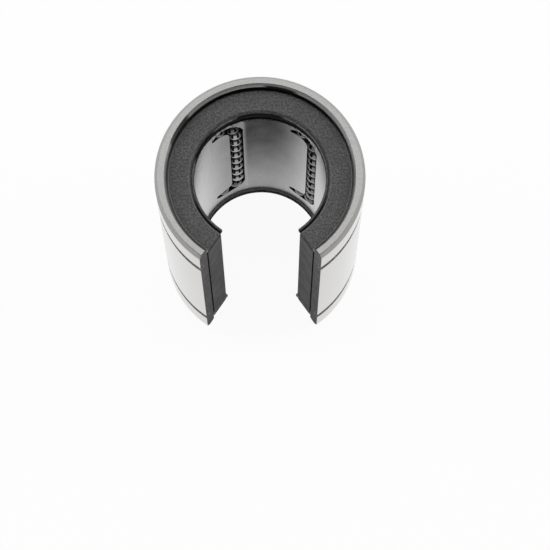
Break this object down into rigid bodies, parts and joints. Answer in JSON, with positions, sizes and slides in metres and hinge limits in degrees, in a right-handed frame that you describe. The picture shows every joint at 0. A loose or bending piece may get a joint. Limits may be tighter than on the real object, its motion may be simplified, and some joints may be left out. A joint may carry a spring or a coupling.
{
  "type": "linear ball bearing",
  "caption": "Open linear ball bearing: a slotted ground steel sleeve with retaining-ring grooves holds a retainer, recirculating balls and polymer end rings around a round shaft.",
  "frame": {"origin": "on the axis of the shaft, at the middle of the bearing's length", "axes": "+Z along the axis, which is upright as the bearing stands on its end; the open slot faces -Y"},
  "size_m": [0.032, 0.0291, 0.042],
  "materials": {
    "ground_steel": "ground bearing steel, bright, with matte turned grooves",
    "retainer_steel": "satin steel",
    "ring_polymer": "matte moulded polymer with a fine grain",
    "ball_steel": "polished bearing balls"
  },
  "bodies": {
    "housing": {"outer_sleeve": "ground_steel", "ball_retainer": "retainer_steel", "upper_end_ring": "ring_polymer", "lower_end_ring": "ring_polymer"},
    "circuit_1_load_row": {"circuit_1_load_balls": "ball_steel"},
    "circuit_1_return_row": {"circuit_1_return_balls": "ball_steel"},
    "circuit_1_upper_turn": {"circuit_1_upper_turn_balls": "ball_steel"},
    "circuit_1_lower_turn": {"circuit_1_lower_turn_balls": "ball_steel"},
    "circuit_2_load_row": {"circuit_2_load_balls": "ball_steel"},
    "circuit_2_return_row": {"circuit_2_return_balls": "ball_steel"},
    "circuit_2_upper_turn": {"circuit_2_upper_turn_balls": "ball_steel"},
    "circuit_2_lower_turn": {"circuit_2_lower_turn_balls": "ball_steel"},
    "circuit_3_load_row": {"circuit_3_load_balls": "ball_steel"},
    "circuit_3_return_row": {"circuit_3_return_balls": "ball_steel"},
    "circuit_3_upper_turn": {"circuit_3_upper_turn_balls": "ball_steel"},
    "circuit_3_lower_turn": {"circuit_3_lower_turn_balls": "ball_steel"},
    "circuit_4_load_row": {"circuit_4_load_balls": "ball_steel"},
    "circuit_4_return_row": {"circuit_4_return_balls": "ball_steel"},
    "circuit_4_upper_turn": {"circuit_4_upper_turn_balls": "ball_steel"},
    "circuit_4_lower_turn": {"circuit_4_lower_turn_balls": "ball_steel"}
  },
  "joints": [
    {"name": "circuit_1_load_travel", "type": "slide", "parent": "housing", "child": "circuit_1_load_row", "axis": [0, 0, 1], "range_m": [-0.00148, 0.00148]},
    {"name": "circuit_1_return_travel", "type": "slide", "parent": "housing", "child": "circuit_1_return_row", "axis": [0, 0, 1], "range_m": [-0.00148, 0.00148]},
    {"name": "circuit_1_upper_turn_swing", "type": "hinge", "parent": "housing", "child": "circuit_1_upper_turn", "pos_m": [0.01085, -0.0037, 0.01185], "axis": [-0.8873, 0.4559, 0.0698], "range_deg": [-30, 30]},
    {"name": "circuit_1_lower_turn_swing", "type": "hinge", "parent": "housing", "child": "circuit_1_lower_turn", "pos_m": [0.01085, -0.0037, -0.01185], "axis": [-0.8873, 0.4559, -0.0698], "range_deg": [-30, 30]},
    {"name": "circuit_2_load_travel", "type": "slide", "parent": "housing", "child": "circuit_2_load_row", "axis": [0, 0, 1], "range_m": [-0.00148, 0.00148]},
    {"name": "circuit_2_return_travel", "type": "slide", "parent": "housing", "child": "circuit_2_return_row", "axis": [0, 0, 1], "range_m": [-0.00148, 0.00148]},
    {"name": "circuit_2_upper_turn_swing", "type": "hinge", "parent": "housing", "child": "circuit_2_upper_turn", "pos_m": [0.00687, 0.00917, 0.01185], "axis": [-0.7078, -0.703, 0.0698], "range_deg": [-30, 30]},
    {"name": "circuit_2_lower_turn_swing", "type": "hinge", "parent": "housing", "child": "circuit_2_lower_turn", "pos_m": [0.00687, 0.00917, -0.01185], "axis": [-0.7078, -0.703, -0.0698], "range_deg": [-30, 30]},
    {"name": "circuit_3_load_travel", "type": "slide", "parent": "housing", "child": "circuit_3_load_row", "axis": [0, 0, 1], "range_m": [-0.00148, 0.00148]},
    {"name": "circuit_3_return_travel", "type": "slide", "parent": "housing", "child": "circuit_3_return_row", "axis": [0, 0, 1], "range_m": [-0.00148, 0.00148]},
    {"name": "circuit_3_upper_turn_swing", "type": "hinge", "parent": "housing", "child": "circuit_3_upper_turn", "pos_m": [-0.0066, 0.00937, 0.01185], "axis": [0.4498, -0.8904, 0.0698], "range_deg": [-30, 30]},
    {"name": "circuit_3_lower_turn_swing", "type": "hinge", "parent": "housing", "child": "circuit_3_lower_turn", "pos_m": [-0.0066, 0.00937, -0.01185], "axis": [0.4498, -0.8904, -0.0698], "range_deg": [-30, 30]},
    {"name": "circuit_4_load_travel", "type": "slide", "parent": "housing", "child": "circuit_4_load_row", "axis": [0, 0, 1], "range_m": [-0.00148, 0.00148]},
    {"name": "circuit_4_return_travel", "type": "slide", "parent": "housing", "child": "circuit_4_return_row", "axis": [0, 0, 1], "range_m": [-0.00148, 0.00148]},
    {"name": "circuit_4_upper_turn_swing", "type": "hinge", "parent": "housing", "child": "circuit_4_upper_turn", "pos_m": [-0.01095, -0.00338, 0.01185], "axis": [0.9858, 0.1527, 0.0698], "range_deg": [-30, 30]},
    {"name": "circuit_4_lower_turn_swing", "type": "hinge", "parent": "housing", "child": "circuit_4_lower_turn", "pos_m": [-0.01095, -0.00338, -0.01185], "axis": [0.9858, 0.1527, -0.0698], "range_deg": [-30, 30]}
  ],
  "couplings": [
    {"joint": "circuit_1_return_travel", "follows": "circuit_1_load_travel", "ratio": -1},
    {"joint": "circuit_1_upper_turn_swing", "follows": "circuit_1_load_travel", "rad_per_m": 353.61},
    {"joint": "circuit_1_lower_turn_swing", "follows": "circuit_1_load_travel", "rad_per_m": 353.61},
    {"joint": "circuit_2_return_travel", "follows": "circuit_2_load_travel", "ratio": -1},
    {"joint": "circuit_2_upper_turn_swing", "follows": "circuit_2_load_travel", "rad_per_m": 353.61},
    {"joint": "circuit_2_lower_turn_swing", "follows": "circuit_2_load_travel", "rad_per_m": 353.61},
    {"joint": "circuit_3_return_travel", "follows": "circuit_3_load_travel", "ratio": -1},
    {"joint": "circuit_3_upper_turn_swing", "follows": "circuit_3_load_travel", "rad_per_m": 353.61},
    {"joint": "circuit_3_lower_turn_swing", "follows": "circuit_3_load_travel", "rad_per_m": 353.61},
    {"joint": "circuit_4_return_travel", "follows": "circuit_4_load_travel", "ratio": -1},
    {"joint": "circuit_4_upper_turn_swing", "follows": "circuit_4_load_travel", "rad_per_m": 353.61},
    {"joint": "circuit_4_lower_turn_swing", "follows": "circuit_4_load_travel", "rad_per_m": 353.61}
  ]
}
